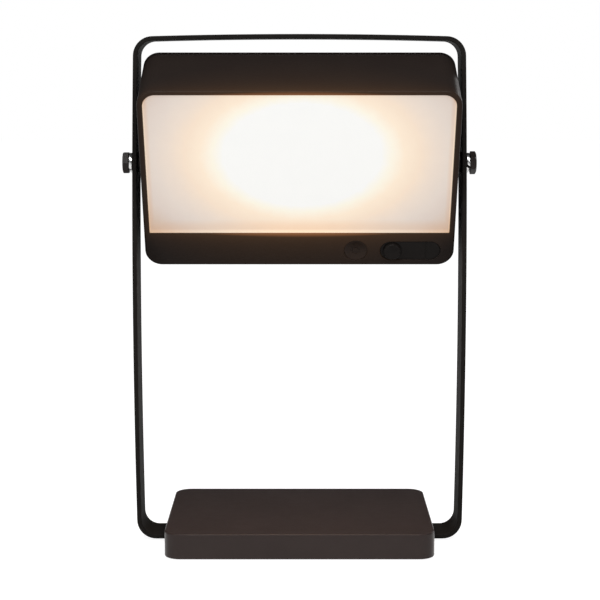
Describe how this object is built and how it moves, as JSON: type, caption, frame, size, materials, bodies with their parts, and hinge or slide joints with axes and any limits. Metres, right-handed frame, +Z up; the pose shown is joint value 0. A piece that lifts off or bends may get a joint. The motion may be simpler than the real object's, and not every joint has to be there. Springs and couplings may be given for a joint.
{
  "type": "table lamp",
  "caption": "Cordless outdoor table lamp: a tilting box-shaped light head with a frosted front hangs between the uprights of a flat-bar loop on a weighted base",
  "frame": {"origin": "on the ground under the middle of the base", "axes": "+Z up, the front with the diffuser faces -Y, the tilt axis runs along X"},
  "size_m": [0.1998, 0.099, 0.2887],
  "materials": {
    "bar_black": "fine-textured black powder coat",
    "base_bronze": "fine-textured dark bronze powder coat",
    "head_bronze": "fine-textured dark bronze powder coat",
    "iron": "bare cast weight",
    "plate_black": "moulded black",
    "rubber_black": "matte",
    "rubber_grey": "matte dark grey",
    "diffuser_white": "frosted white",
    "tray_white": "white",
    "board_white": "white solder mask",
    "board_green": "green solder mask",
    "lamp_amber": "phosphor lens",
    "panel_blue": "dark laminate over cells",
    "tape_grey": "foam tape",
    "cell_sleeve": "plain shrink sleeve",
    "steel": "zinc plated",
    "steel_black": "blackened",
    "brass": "turned",
    "button_bronze": "dark, satin",
    "seal_black": "soft foam"
  },
  "bodies": {
    "stand": {"frame_loop": "bar_black", "frame_screws": "steel_black", "base_cover": "base_bronze", "base_weight": "iron", "base_plate": "plate_black", "base_feet": "rubber_black", "base_screws": "steel_black"},
    "head": {"head_housing": "head_bronze", "diffuser": "diffuser_white", "diffuser_seal": "seal_black", "light_tray": "tray_white", "lamp_board": "board_white", "lamps": "lamp_amber", "lamp_screws": "steel", "rear_cover": "head_bronze", "rear_gasket": "rubber_black", "rear_screws": "steel_black", "solar_panel": "panel_blue", "panel_tape": "tape_grey", "cell_holder": "plate_black", "holder_screws": "steel", "cells": "cell_sleeve", "contacts": "steel", "control_board": "board_green", "board_screws": "steel", "switch_body": "plate_black", "charging_socket": "steel", "cover_anchor": "rubber_grey", "pivot_bolts": "steel_black", "spring_washers": "steel", "pivot_spacers": "steel_black", "pivot_inserts": "brass"},
    "button": {"power_button": "button_bronze", "switch_plunger": "plate_black"},
    "flap": {"port_cover": "rubber_grey"}
  },
  "joints": [
    {"name": "head_tilt", "type": "hinge", "parent": "stand", "child": "head", "pos_m": [0, 0, 0.2167], "axis": [1, 0, 0], "continuous": true},
    {"name": "button_press", "type": "slide", "parent": "head", "child": "button", "axis": [0, 0.8949, 0.4462], "range_m": [0, 0.0006], "stiffness_N_per_m": 1500, "springref_m": -0.0002},
    {"name": "port_flap", "type": "hinge", "parent": "head", "child": "flap", "pos_m": [0.072, -0.00006, 0.16661], "axis": [0, -0.4462, 0.8949], "range_deg": [0, 100]}
  ]
}
